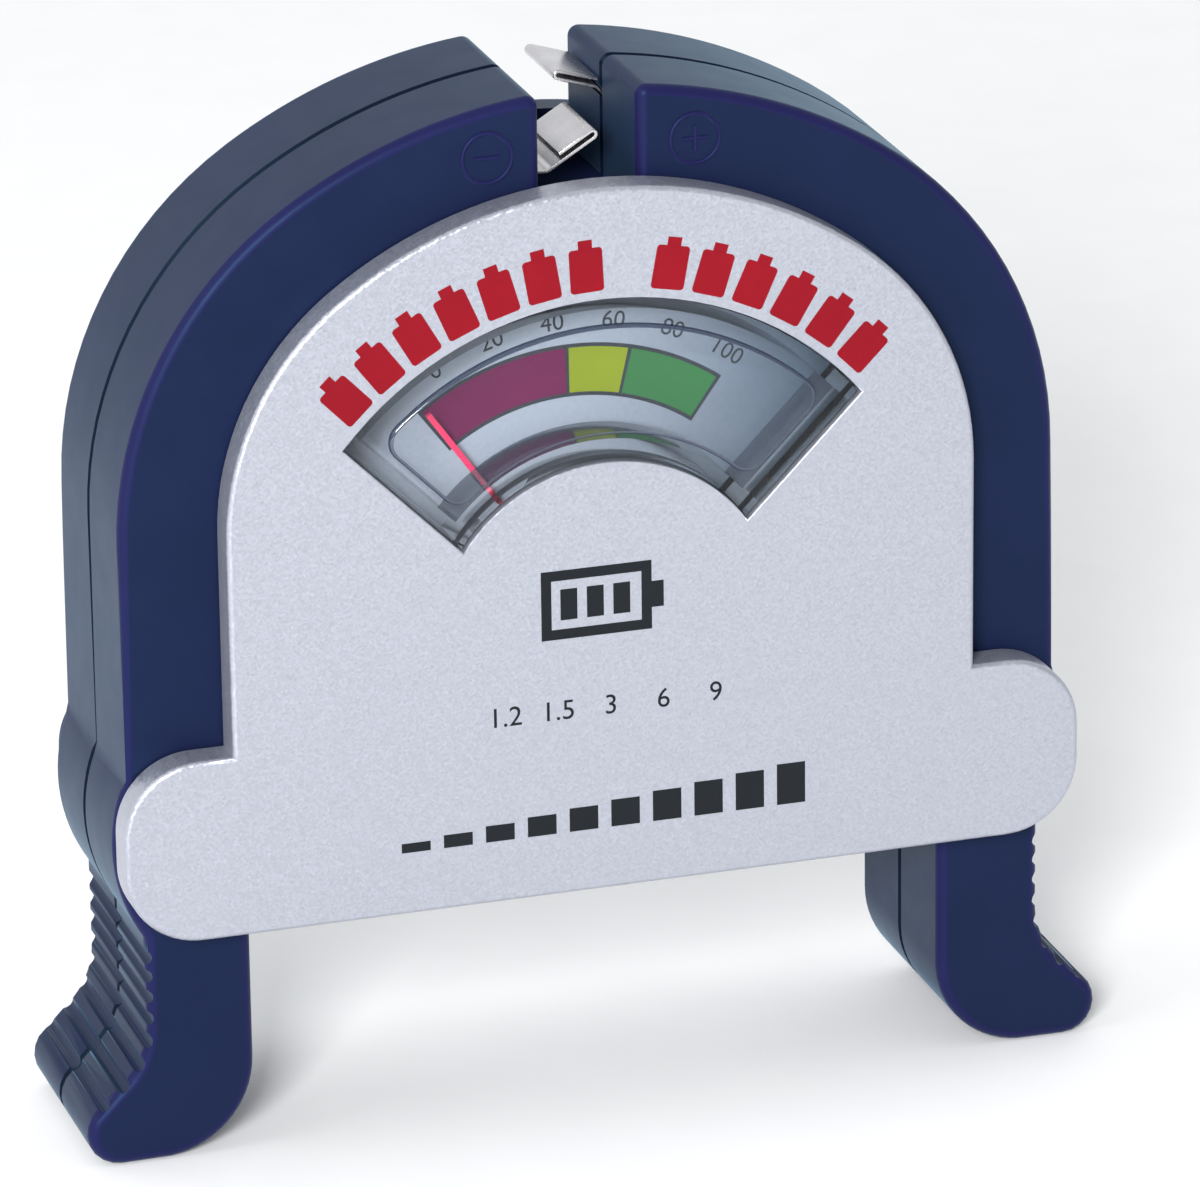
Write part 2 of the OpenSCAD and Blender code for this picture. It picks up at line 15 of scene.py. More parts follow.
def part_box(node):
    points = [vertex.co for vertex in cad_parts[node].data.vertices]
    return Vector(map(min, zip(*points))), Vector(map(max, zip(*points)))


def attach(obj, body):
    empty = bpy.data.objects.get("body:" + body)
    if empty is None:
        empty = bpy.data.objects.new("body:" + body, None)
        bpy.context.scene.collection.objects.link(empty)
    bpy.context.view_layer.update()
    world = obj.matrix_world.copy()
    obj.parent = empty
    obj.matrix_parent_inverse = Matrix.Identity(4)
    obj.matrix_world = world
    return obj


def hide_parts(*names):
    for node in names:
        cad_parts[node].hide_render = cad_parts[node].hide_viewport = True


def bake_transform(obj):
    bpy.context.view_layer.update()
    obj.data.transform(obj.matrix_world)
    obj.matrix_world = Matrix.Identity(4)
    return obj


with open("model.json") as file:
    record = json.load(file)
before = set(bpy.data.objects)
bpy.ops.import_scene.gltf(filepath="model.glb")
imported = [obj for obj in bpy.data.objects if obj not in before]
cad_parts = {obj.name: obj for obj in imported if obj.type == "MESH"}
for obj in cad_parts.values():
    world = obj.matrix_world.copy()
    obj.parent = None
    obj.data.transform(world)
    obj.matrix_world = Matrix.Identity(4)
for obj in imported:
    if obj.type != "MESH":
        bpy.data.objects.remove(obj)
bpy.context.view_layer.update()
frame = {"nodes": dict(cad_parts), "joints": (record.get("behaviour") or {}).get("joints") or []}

MM = 0.001
NODES = frame["nodes"]


def box_mm(node):
    """The lowest and the highest corner of a CAD node, in millimetres above the floor."""
    low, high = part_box(node)
    return low / MM, high / MM


def joint_xz(name):
    """The [x, height] of a joint's axis, in millimetres above the body's lower edge."""
    joint = next(j for j in frame["joints"] if j["name"] == name)
    x, _, z = joint["pos_m"]
    return x / MM, z / MM - STAND


STAND = box_mm("front_cover")[0].z  # height of the body's lower edge above the floor
PRINT = 0.012  # how far ink and paint stand proud of their face
FACE_Y = box_mm("front_cover")[0].y + PRINT  # front face of the finished cover
SHELL_Y = box_mm("right_arm_front_shell")[0].y  # front face of the arms
DIAL_Y = box_mm("dial_plate")[0].y  # front face of the dial
METER = joint_xz("pointer_swing")  # the pointer's axis
ARM_HALF = 38.9  # half the width over the sides of both arms


# ---- outlines, in millimetres ----

ARC_STEPS = 16


def arc(center, r, a0, a1, steps=ARC_STEPS):
    """Points on a circle from angle a0 to a1, in degrees anticlockwise from +X."""
    turns = [math.radians(a0 + (a1 - a0) * i / steps) for i in range(steps + 1)]
    return [(center[0] + r * math.cos(t), center[1] + r * math.sin(t)) for t in turns]


def half_arch(half, top, r_top, r_side, x_end):
    """The right half of an arch of two tangent arcs, from its side up to x_end."""
    side_x = half - r_side
    top_z = top - r_top
    side_z = top_z + math.sqrt((r_top - r_side) ** 2 - side_x ** 2)
    turn = math.degrees(math.acos(side_x / (r_top - r_side)))
    end = math.degrees(math.acos(x_end / r_top))
    return arc((side_x, side_z), r_side, 0, turn) + arc((0, top_z), r_top, turn, end)[1:]


def arm_edge():
    """The visible edge of the right arm, from the jaw's end round to the inside of the handle."""
    top, arch_r, side_r = 66, 45.1, 31.5
    jaw, jaw_z = box_mm("right_arm_front_shell")[0].x, 54
    corner_r = 0.9
    bulge, bulge_r = (25.65, 7.24), 14.45
    leg_in, leg_out, leg_z = 29.1, 37.8, 3
    flare_r, flare_z, flare_a = 7, -8, 50
    toe, toe_r = (40.2, -17.1), 2.75
    heel, heel_r = (36.9, -12.05), 7.8

    corner_x = jaw + corner_r
    corner_a = math.acos(corner_x / (arch_r - corner_r))
    corner = (corner_x, top - arch_r + (arch_r - corner_r) * math.sin(corner_a))
    arch = half_arch(ARM_HALF, top, arch_r, side_r, arch_r * math.cos(corner_a))
    crease = math.degrees(math.acos((ARM_HALF - bulge[0]) / bulge_r))
    low = math.degrees(math.acos((leg_out - bulge[0]) / bulge_r))
    return (
        [(jaw, jaw_z)]
        + arc(corner, corner_r, 180, math.degrees(corner_a), 8)
        + arch[::-1][1:]
        + arc(bulge, bulge_r, crease, -low)[1:]
        + arc((leg_out + flare_r, flare_z), flare_r, 180, 180 + flare_a)
        + arc(toe, toe_r, flare_a, -90, 8)[1:]
        + arc(heel, heel_r, -90, -180)[1:]
        + [(leg_in, leg_z)]
    )


def polar(r, clock):
    """The point at radius r from the pointer's axis, clock degrees clockwise from straight up."""
    t = math.radians(clock)
    return METER[0] + r * math.sin(t), METER[1] + r * math.cos(t)


def fan(r0, r1, a0, a1, steps=24):
    """A band between two radii about the pointer's axis."""
    turns = [a0 + (a1 - a0) * i / steps for i in range(steps + 1)]
    return [polar(r1, a) for a in turns] + [polar(r0, a) for a in reversed(turns)]


def rounded_box(x0, z0, x1, z1, r, steps=4):
    """A rectangle with round corners."""
    corners = [
        ((x1 - r, z0 + r), -90), ((x1 - r, z1 - r), 0),
        ((x0 + r, z1 - r), 90), ((x0 + r, z0 + r), 180),
    ]
    return [p for center, a in corners for p in arc(center, r, a, a + 90, steps)]


def placed(points, at, clock):
    """Points drawn about (0, 0), turned clockwise by clock degrees and moved to at."""
    c, s = math.cos(math.radians(clock)), math.sin(math.radians(clock))
    return [(at[0] + x * c + z * s, at[1] - x * s + z * c) for x, z in points]


# ---- meshes ----

def to_frame(x, y, z):
    """A point in the frame's metres. z is measured from the body's lower edge."""
    return Vector((x, y, z + STAND)) * MM


def new_object(name, bm, materials, smooth=30):
    """A mesh object from bm, smooth apart from edges sharper than the given degrees."""
    bmesh.ops.recalc_face_normals(bm, faces=bm.faces)
    mesh = bpy.data.meshes.new(name)
    bm.to_mesh(mesh)
    bm.free()
    return add_object(name, mesh, materials, smooth)


def add_object(name, mesh, materials, smooth=30):
    """A smooth-shaded object of mesh, in the scene. The materials come after the mesh's own."""
    for m in materials:
        mesh.materials.append(m)
    mesh.shade_smooth()
    mesh.set_sharp_from_angle(angle=math.radians(smooth))
    obj = bpy.data.objects.new(name, mesh)
    bpy.context.scene.collection.objects.link(obj)
    return obj


def even_normals(obj):
    """Keeps flat faces flat where they run into a rounded edge."""
    mod = obj.modifiers.new("even_normals", "WEIGHTED_NORMAL")
    mod.keep_sharp = True
    mod.weight = 80


def final_mesh(obj):
    """The mesh of obj with its modifiers applied. obj itself is deleted."""
    graph = bpy.context.evaluated_depsgraph_get()
    mesh = bpy.data.meshes.new_from_object(obj.evaluated_get(graph))
    bpy.data.objects.remove(obj)
    return mesh


def prisms(outlines, y_front, y_back):
    """A mesh of one flat-ended prism for each outline."""
    bm = bmesh.new()
    for points in outlines:
        front = [bm.verts.new(to_frame(x, y_front, z)) for x, z in points]
        back = [bm.verts.new(to_frame(x, y_back, z)) for x, z in points]
        bm.faces.new(front)
        bm.faces.new(back[::-1])
        for i, _ in enumerate(points):
            j = (i + 1) % len(points)
            bm.faces.new((front[i], back[i], back[j], front[j]))
    return bm


def outward(path, i):
    """The mitred normal at point i of a path that runs clockwise round what it bounds."""
    def left(a, b):
        d = Vector((b[0] - a[0], b[1] - a[1])).normalized()
        return Vector((-d.y, d.x))
    last = len(path) - 1
    n0 = left(path[max(i - 1, 0)], path[max(i, 1)])
    n1 = left(path[min(i, last - 1)], path[min(i + 1, last)])
    return (n0 + n1) / (1 + n0.dot(n1))


def swept(path, section, side):
    """A solid swept along path; side -1 mirrors it. Section points are (distance out, depth)."""
    bm = bmesh.new()
    rings = []
    for i, (x, z) in enumerate(path):
        n = outward(path, i)
        ring = [to_frame(side * (x + u * n.x), y, z + u * n.y) for u, y in section]
        rings.append([bm.verts.new(point) for point in ring])
    for a, b in zip(rings, rings[1:]):
        for k, _ in enumerate(section):
            j = (k + 1) % len(section)
            bm.faces.new((a[k], a[j], b[j], b[k]))
    bm.faces.new(rings[0][::-1])
    bm.faces.new(rings[-1])
    return bm


def whole_faces(mesh):
    """A mesh with its split corners joined and each of its flat faces in one piece."""
    bm = bmesh.new()
    bm.from_mesh(mesh)
    bmesh.ops.remove_doubles(bm, verts=bm.verts, dist=0.001 * MM)
    bmesh.ops.dissolve_limit(
        bm, angle_limit=math.radians(0.3), verts=bm.verts, edges=bm.edges, delimit={"MATERIAL"},
    )
    return bm


def round_edges(bm, pick, radius, segments=3, sharp=25):
    """Rounds the outer edges that are sharper than the given degrees and that pick chooses."""
    edges = [
        e for e in bm.edges
        if e.is_manifold and e.is_convex and math.degrees(e.calc_face_angle()) > sharp
        and pick(e.verts[0].co / MM, e.verts[1].co / MM)
    ]
    bmesh.ops.bevel(
        bm, geom=edges, offset=radius * MM, offset_type="OFFSET", segments=segments, profile=0.5,
        affect="EDGES", clamp_overlap=False,
    )


# ---- materials ----

def linear(rgb):
    """Scene values of a colour given as 0 to 255 sRGB."""
    def value(c):
        c /= 255
        return c / 12.92 if c <= 0.04045 else ((c + 0.055) / 1.055) ** 2.4
    return (*(value(c) for c in rgb), 1)


class Surface:
    """A material built round one Principled shader, with object coordinates for its textures."""

    def __init__(self, name, **values):
        self.material = bpy.data.materials.new(name)
        self.material.use_nodes = True
        self.tree = self.material.node_tree
        self.shader = self.tree.nodes["Principled BSDF"]
        self.coords = self.node("ShaderNodeTexCoord").outputs["Object"]
        for socket, value in values.items():
            self.shader.inputs[socket.replace("_", " ")].default_value = value

    def node(self, kind, **settings):
        node = self.tree.nodes.new(kind)
        for key, value in settings.items():
            setattr(node, key, value)
        return node

    def link(self, output, target):
        self.tree.links.new(output, target)

    def noise(self, size_mm, detail=3, stretch=(1, 1, 1)):
        """Noise whose features are about size_mm across."""
        mapping = self.node("ShaderNodeMapping")
        mapping.inputs["Scale"].default_value = stretch
        self.link(self.coords, mapping.inputs["Vector"])
        noise = self.node("ShaderNodeTexNoise")
        noise.inputs["Scale"].default_value = 1 / (size_mm * MM)
        noise.inputs["Detail"].default_value = detail
        self.link(mapping.outputs["Vector"], noise.inputs["Vector"])
        return noise.outputs["Fac"]

    def ramp(self, value, low, high, at=(0.35, 0.65)):
        """A colour that runs from low to high as value goes from at[0] to at[1]."""
        ramp = self.node("ShaderNodeValToRGB")
        for element, position, color in zip(ramp.color_ramp.elements, at, (low, high)):
            element.position = position
            element.color = color
        self.link(value, ramp.inputs["Fac"])
        return ramp.outputs["Color"]

    def color(self, output):
        """Takes the base colour from output."""
        self.link(output, self.shader.inputs["Base Color"])
        return self

    def roughness(self, value, low, high):
        """Spreads the roughness from low to high over the middle of value's range."""
        span = self.node("ShaderNodeMapRange")
        span.inputs["From Min"].default_value = 0.3
        span.inputs["From Max"].default_value = 0.7
        span.inputs["To Min"].default_value = low
        span.inputs["To Max"].default_value = high
        self.link(value, span.inputs["Value"])
        self.link(span.outputs["Result"], self.shader.inputs["Roughness"])
        return self

    def bump(self, value, height_mm, strength=1.0):
        """Raises the surface by up to height_mm where value is high."""
        bump = self.node("ShaderNodeBump")
        bump.inputs["Distance"].default_value = height_mm * MM
        bump.inputs["Strength"].default_value = strength
        self.link(value, bump.inputs["Height"])
        self.link(bump.outputs["Normal"], self.shader.inputs["Normal"])
        return self


def shade(rgb, by):
    """The colour rgb made by times as bright."""
    return linear([min(255, c * by) for c in rgb])


def moulded(name, rgb, rough=(0.38, 0.5), grain=0.35, height=0.006, vary=0.06, **values):
    """Injection-moulded plastic or paint: a fine spark-eroded grain and faint flow variation."""
    s = Surface(name, **values)
    s.color(s.ramp(s.noise(9, 4), shade(rgb, 1 - vary), shade(rgb, 1 + vary)))
    s.roughness(s.noise(3, 3), *rough)
    return s.bump(s.noise(grain, 2), height).material


def ink(name, rgb):
    """Printing ink: thin, even and nearly matt."""
    return moulded(
        name, rgb, rough=(0.5, 0.6), grain=0.2, height=0.002, vary=0.03, Specular_IOR_Level=0.12,
    )


def blue_plastic(name, rgb):
    """The dark blue plastic, whose reflections are as cool as its colour."""
    cool = (0.3, 0.7, 1, 1)
    return moulded(
        name, rgb, rough=(0.42, 0.46), vary=0.03, Specular_IOR_Level=0.18, Specular_Tint=cool,
        Sheen_Weight=0.13, Sheen_Roughness=0.35, Sheen_Tint=cool,
    )


def metal(name, rgb, rough=(0.2, 0.34), stretch=(1, 1, 1), height=0.0004, vary=0.03, **values):
    """Rolled or turned metal with fine scratches along one direction."""
    s = Surface(name, Metallic=1.0, **values)
    s.color(s.ramp(s.noise(2.5, 4), shade(rgb, 1 - vary), shade(rgb, 1 + vary)))
    s.roughness(s.noise(0.8, 4, stretch), *rough)
    return s.bump(s.noise(0.25, 3, stretch), height).material


def silver_paint():
    """Silver lacquer: pale flakes of slightly different tilt over a soft orange peel."""
    pale = (174, 177, 188)
    flake_size, flake_tilt, peel_height = 0.2, 0.11, 0.025
    s = Surface("silver_lacquer", Metallic=0.7, Coat_Weight=0.15, Coat_Roughness=0.3)
    flakes = s.node("ShaderNodeTexVoronoi")
    flakes.inputs["Scale"].default_value = 1 / (flake_size * MM)
    s.link(s.coords, flakes.inputs["Vector"])
    s.color(s.ramp(s.noise(0.25, 3), shade(pale, 0.98), shade(pale, 1.02)))
    s.roughness(s.noise(0.6, 2), 0.38, 0.46)
    tilt = s.node("ShaderNodeVectorMath", operation="MULTIPLY_ADD")
    tilt.inputs[1].default_value = (2 * flake_tilt,) * 3
    tilt.inputs[2].default_value = (-flake_tilt,) * 3
    s.link(flakes.outputs["Color"], tilt.inputs[0])
    bump = s.node("ShaderNodeBump")
    bump.inputs["Distance"].default_value = peel_height * MM
    bump.inputs["Strength"].default_value = 0.5
    s.link(s.noise(0.4, 2), bump.inputs["Height"])
    total = s.node("ShaderNodeVectorMath", operation="ADD")
    s.link(bump.outputs["Normal"], total.inputs[0])
    s.link(tilt.outputs["Vector"], total.inputs[1])
    unit = s.node("ShaderNodeVectorMath", operation="NORMALIZE")
    s.link(total.outputs["Vector"], unit.inputs[0])
    s.link(unit.outputs["Vector"], s.shader.inputs["Normal"])
    return s.material


def printed_dial():
    """The dial's satin sheet, with painted shade that makes it greyer towards its right side."""
    pale, grey = (168, 180, 196), (74, 94, 114)
    pale_x, painted_shade_x = -4, 24
    s = Surface("dial_sheet_painted_shade", Roughness=0.5, Specular_IOR_Level=0.2)
    # painted shade: the sheet's colour darkens from pale on the left to grey on the right
    across = s.node("ShaderNodeSeparateXYZ")
    s.link(s.coords, across.inputs["Vector"])
    span = s.node("ShaderNodeMapRange", interpolation_type="SMOOTHSTEP")
    span.inputs["From Min"].default_value = pale_x * MM
    span.inputs["From Max"].default_value = painted_shade_x * MM
    s.link(across.outputs["X"], span.inputs["Value"])
    base = s.ramp(span.outputs["Result"], linear(pale), linear(grey), (0, 1))
    speck = s.ramp(s.noise(0.4, 2), (0.93, 0.93, 0.93, 1), (1, 1, 1, 1))
    mix = s.node("ShaderNodeMix", data_type="RGBA", blend_type="MULTIPLY")
    mix.inputs["Factor"].default_value = 1.0
    color_a, color_b, result = mix.inputs[6], mix.inputs[7], mix.outputs[2]
    s.link(base, color_a)
    s.link(speck, color_b)
    return s.color(result).bump(s.noise(0.5, 2), 0.004).material


def clear_plastic(name, rgb, alpha, rough=0.06, ior=1.5):
    """Clear polystyrene: a thin tint that lets what is behind it show, under a faint gloss."""
    s = Surface(name, Alpha=alpha, Specular_IOR_Level=0.6)
    s.color(s.ramp(s.noise(6, 2), shade(rgb, 0.97), shade(rgb, 1.03)))
    s.roughness(s.noise(4, 2), rough * 0.7, rough * 1.3)
    s.bump(s.noise(5, 1), 0.01, 0.4)
    gloss = s.node("ShaderNodeBsdfGlossy")
    gloss.inputs["Roughness"].default_value = rough
    fresnel = s.node("ShaderNodeFresnel")
    fresnel.inputs["IOR"].default_value = ior
    mix = s.node("ShaderNodeMixShader")
    s.link(fresnel.outputs["Fac"], mix.inputs["Fac"])
    s.link(s.shader.outputs["BSDF"], mix.inputs[1])
    s.link(gloss.outputs["BSDF"], mix.inputs[2])
    s.link(mix.outputs["Shader"], s.tree.nodes["Material Output"].inputs["Surface"])
    return s.material


BLUE = (21, 26, 56)
SLOTS = {
    "silver_cover": silver_paint(),
    "blue_case": blue_plastic("blue_case_plastic", BLUE),
    "blue_arm": blue_plastic("blue_arm_plastic", BLUE),
    "clear_lens": clear_plastic("lens_face", (196, 208, 222), 0.015, ior=1.28),
    "meter_plastic": moulded("meter_plastic", (70, 74, 80)),
    "dial_print": printed_dial(),
    "pointer_paint": moulded("pointer_paint", (226, 40, 96), rough=(0.3, 0.4), height=0.002),
    "bright_steel": metal("bright_steel", (196, 198, 202), stretch=(1, 8, 1)),
    "copper_wire": metal("copper_wire", (176, 96, 58), stretch=(1, 1, 14), height=0.03),
    "soft_iron": metal("soft_iron", (118, 120, 126), rough=(0.35, 0.5)),
    "magnet_ferrite": moulded("magnet_ferrite", (58, 58, 62), rough=(0.55, 0.7), height=0.02),
    "meter_brass": metal("meter_brass", (196, 162, 88)),
    "spring_bronze": metal("spring_bronze", (190, 140, 82)),
    "spring_steel": metal("spring_steel", (150, 152, 158)),
    "contact_nickel": metal(
        "contact_nickel", (206, 204, 206), rough=(0.26, 0.32), stretch=(3, 1, 3),
    ),
    "resistor_tan": moulded("resistor_tan", (196, 166, 120), height=0.02),
    "resistor_blue": moulded("resistor_blue", (72, 116, 160), height=0.02),
    "lead_black": moulded("lead_black", (26, 26, 28), rough=(0.45, 0.6)),
    "lead_red": moulded("lead_red", (150, 24, 30), rough=(0.45, 0.6)),
    "screw_steel": metal("screw_steel", (178, 180, 184), rough=(0.25, 0.4)),
}

# The cuts' faces: an arm's rounded edge and the groove of its seam
# painted highlight: the arms' rounded edges and raised lines are a lighter, more violet blue than
# the plastic
HIGHLIGHT_EDGE_BLUE = blue_plastic("blue_edge_painted_highlight", (27, 24, 66))
# painted shade: the seam's groove is a darker blue than the plastic
SHADED_GROOVE_BLUE = blue_plastic("blue_groove_painted_shade", (8, 11, 28))

# The lens's other faces; its front takes its slot's material
# painted shade: the lens's walls are dark and nearly opaque, standing in for the dark edges that
# refraction gives the clear lens
SHADED_LENS_WALL = clear_plastic("lens_wall_painted_shade", (46, 57, 78), 0.92, rough=0.1)
LENS_BACK = clear_plastic("lens_back", (196, 208, 222), 0.01, ior=1.02)

INK_RED = ink("ink_red", (130, 10, 26))
INK_BLACK = ink("ink_black", (26, 30, 34))
INK_GREY = ink("ink_grey", (52, 58, 66))
BAND_RED = ink("band_red", (108, 14, 76))
BAND_YELLOW = ink("band_yellow", (138, 156, 26))
BAND_GREEN = ink("band_green", (52, 118, 66))


# ---- mouldings that replace the plain CAD solids ----

def moulding(node, body, rounding, cutters=()):
    """A finished copy of a CAD node: rounding works on its mesh, then each cutter is taken off it.

    A cutter is a mesh and the material that its cut leaves on the moulding.
    """
    slot = NODES[node].data.materials[0].name
    bm = whole_faces(NODES[node].data)
    rounding(bm)
    name = node + "_finished"
    obj = new_object(name, bm, [SLOTS[slot]])
    tools = [new_object("tool", cutter, [material]) for cutter, material in cutters]
    for tool in tools:
        cut = obj.modifiers.new("cut", "BOOLEAN")
        cut.operation = "DIFFERENCE"
        cut.solver = "MANIFOLD"
        cut.object = tool
        cut.material_mode = "TRANSFER"
    if tools:
        mesh = final_mesh(obj)
        for tool in tools:
            bpy.data.objects.remove(tool)
        bm = whole_faces(mesh)
        bm.to_mesh(mesh)
        bm.free()
        obj = add_object(name, mesh, [])
    even_normals(obj)
    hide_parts(node)
    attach(obj, body)
    return obj


def at_depth(y):
    """Chooses edges that lie in the plane of depth y."""
    return lambda a, b: abs(a.y - y) < 0.005 and abs(b.y - y) < 0.005


def in_window(a, b):
    """Tells whether an edge of the cover belongs to its window."""
    window_r = 28.2
    reach = max((p.x - METER[0]) ** 2 + (p.z - STAND - METER[1]) ** 2 for p in (a, b))
    return reach < window_r ** 2 and min(a.z, b.z) > STAND + METER[1]


def front_cover_rounding(bm):
    """Sets the front face back by the thickness of the print on it, then rounds the edges."""
    for v in bm.verts:
        if v.co.y < (FACE_Y - PRINT / 2) * MM:
            v.co.y = FACE_Y * MM
    front = at_depth(FACE_Y)
    round_edges(bm, lambda a, b: front(a, b) and in_window(a, b), 0.12, 2)
    round_edges(bm, lambda a, b: front(a, b) and not in_window(a, b), 0.42, 4)
    arm_gap = 0.2
    back = at_depth(SHELL_Y - arm_gap)
    round_edges(bm, lambda a, b: back(a, b) and not in_window(a, b), 0.15, 2)


def rear_case_rounding(bm):
    """Rounds the edge round the back."""
    round_edges(bm, at_depth(box_mm("rear_case")[1].y), 0.5, 4)


def crests(a, b):
    """Chooses the ribs' edges along the handle's grip."""
    grip_x, grip_z = 36, -0.2
    along = abs(a.x - b.x) < 0.01 and abs(a.z - b.z) < 0.01
    return along and a.z < STAND + grip_z and abs(a.x) > grip_x


def arm_rounding(bm):
    """Softens the grip's ribs. The long edges are rounded by arm_cutters()."""
    round_edges(bm, crests, 0.15, 3)


EDGE_R = 0.85  # radius of the arms' outer edges
SEAM = 0.4  # half the width of the groove between an arm's half shells


def fillet_section(y, toward):
    """What is cut off an outer edge at depth y to round it. toward points out of the face."""
    r, out = EDGE_R, 0.3
    shift = 0.005  # how far the curve runs past both faces, so that the cut leaves no sliver
    curve = [
        (-r + shift + r * math.cos(t), y + toward * (-r + shift + r * math.sin(t)))
        for t in (math.radians(90 * i / 8) for i in range(9))
    ]
    return curve + [(-r, y + toward * out), (out, y + toward * out), (out, y - toward * r)]


def arm_cutters(side, toward):
    """The cuts that round a half shell's outer edge and make its half of the seam's groove."""
    edge = arm_edge()
    deep, proud, out = -1.2 * SEAM, 0.02, 0.3
    seam = [(deep, 0), (proud, -SEAM), (out, -SEAM), (out, SEAM), (proud, SEAM)]
    return [
        # the rounded edge's faces take the painted highlight
        (swept(edge, fillet_section(toward * abs(SHELL_Y), toward), side), HIGHLIGHT_EDGE_BLUE),
        # the groove's faces take the painted shade
        (swept(edge, seam, side), SHADED_GROOVE_BLUE),
    ]


def arms():
    """The four half shells, which meet at the seam in the middle of each arm."""
    for hand, side in (("left", -1), ("right", 1)):
        for half, toward in (("front", -1), ("rear", 1)):
            cutters = arm_cutters(side, toward)
            moulding(f"{hand}_arm_{half}_shell", f"{hand}_arm", arm_rounding, cutters)


def lens():
    """The lens: its front is clear, its walls are dark and nearly opaque as painted shade, and its
    back hardly reflects.
    """
    wall, back = 1, 2
    square_on = 0.97

    def rounding(bm):
        round_edges(bm, at_depth(box_mm("lens")[0].y), 0.3, 3)
        for face in bm.faces:
            if abs(face.normal.y) < square_on:
                # the walls take the painted-shade material
                face.material_index = wall
            elif face.normal.y > 0:
                face.material_index = back

    obj = moulding("lens", "case", rounding)
    obj.data.materials.append(SHADED_LENS_WALL)
    obj.data.materials.append(LENS_BACK)


def broken_edges(radius):
    """A rounding that takes the sharpness off every edge of a small part."""
    return lambda bm: round_edges(bm, lambda a, b: True, radius, 2, 40)


def small_parts():
    """Screw heads and contact strips with their stamped and turned edges broken."""
    for node, body, radius in (
        ("cover_screws", "case", 0.12),
        ("left_arm_screws", "left_arm", 0.1),
        ("right_arm_screws", "right_arm", 0.1),
        ("left_contact", "left_arm", 0.08),
        ("right_contact", "right_arm", 0.08),
    ):
        moulding(node, body, broken_edges(radius))


def flexing_wires():
    """Wires with one end in the case and one in an arm, copied with their long pieces divided.

    A lead crosses into the arm, and an arm spring runs from front to back.
    """
    segment = 1  # pieces of wire longer than this are divided
    for hand, side in (("left", -1), ("right", 1)):
        for part, start, end, cuts in (
            ("lead", (side * 26, 0, 18), (side * 31.3, 0, 23), 4),
            ("arm_spring", (0, -1.8, 0), (0, 1.8, 0), 0),
        ):
            node = f"{hand}_{part}"
            slot = NODES[node].data.materials[0].name
            bm = whole_faces(NODES[node].data)
            if cuts:
                along = [e for e in bm.edges if e.calc_length() > segment * MM]
                bmesh.ops.subdivide_edges(bm, edges=along, cuts=cuts, use_grid_fill=True)
            obj = new_object(node + "_finished", bm, [SLOTS[slot]])
            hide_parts(node)
            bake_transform(obj)


# ---- printing and raised marks ----

def printed(name, outlines, material, y=FACE_Y):
    """Ink on a face at depth y: it stands a hair proud of the face."""
    obj = new_object(name, prisms(outlines, y - PRINT, y + PRINT / 2), [material])
    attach(obj, "case")


def numerals(name, entries, material, y):
    """Printed numbers. Each entry is text, centre, height in millimetres and clockwise turn."""
    font_per_digit = 1.38  # the font's nominal size for a digit one unit high
    bm = bmesh.new()
    for text, at, size, clock in entries:
        curve = bpy.data.curves.new("digits", "FONT")
        curve.body = text
        curve.size = size * MM * font_per_digit
        curve.align_x = "CENTER"
        curve.align_y = "CENTER"
        curve.extrude = PRINT * MM / 2
        curve.resolution_u = 4
        obj = bpy.data.objects.new("digits", curve)
        bpy.context.scene.collection.objects.link(obj)
        mesh = final_mesh(obj)
        spin = Matrix.Rotation(math.radians(clock), 4, "Y")
        stand = Matrix.Rotation(math.radians(90), 4, "X")
        mesh.transform(Matrix.Translation(to_frame(at[0], y - PRINT / 2, at[1])) @ spin @ stand)
        bm.from_mesh(mesh)
    obj = new_object(name, bm, [material])
    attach(obj, "case")


def dial_marks():
    """The coloured band with its thin border, and the numbers 0 to 100 above it."""
    line = 0.32
    low, high = 17.0, 21.4
    edges = (-36.5, -1, 13.5, 35.5)  # clock angles between which the band's colours lie
    numbers_r, numbers_h = 23.3, 1.45
    first, step = -29, 12.6
    half = math.degrees(line / 2 / high)
    border = fan(low, high, edges[0] - half, edges[3] + half, 48)
    printed("dial_band_border", [border], INK_GREY, DIAL_Y)
    for name, material, a0, a1 in (
        ("dial_band_red", BAND_RED, edges[0], edges[1]),
        ("dial_band_yellow", BAND_YELLOW, edges[1], edges[2]),
        ("dial_band_green", BAND_GREEN, edges[2], edges[3]),
    ):
        field = fan(low + line, high - line, a0 + half, a1 - half)
        printed(name, [field], material, DIAL_Y - PRINT)
    marks = [(str(20 * i), first + step * i) for i in range(6)]
    numbers = [(text, polar(numbers_r, a), numbers_h, a) for text, a in marks]
    numerals("dial_numbers", numbers, INK_GREY, DIAL_Y)


def box(x0, z0, x1, z1):
    """A plain rectangle."""
    return [(x0, z0), (x1, z0), (x1, z1), (x0, z1)]


def cell(width, height, nub):
    """An upright battery: a round-cornered body and the small cap on top of it."""
    half, top = width / 2, height / 2
    nub_half, sunk = half * 0.42, 0.01
    body = rounded_box(-half, -top, half, top - nub, 0.3)
    cap = box(-nub_half, top - nub - sunk, nub_half, top)
    return [body, cap]


def cell_row():
    """The row of cells above the window, in two groups."""
    radius, step = 30.7, 6.9
    left, right = -44, 10.5
    clocks = [left + step * i for i in range(7)] + [right + step * i for i in range(6)]
    return [placed(part, polar(radius, a), a) for a in clocks for part in cell(2.75, 4.3, 0.7)]


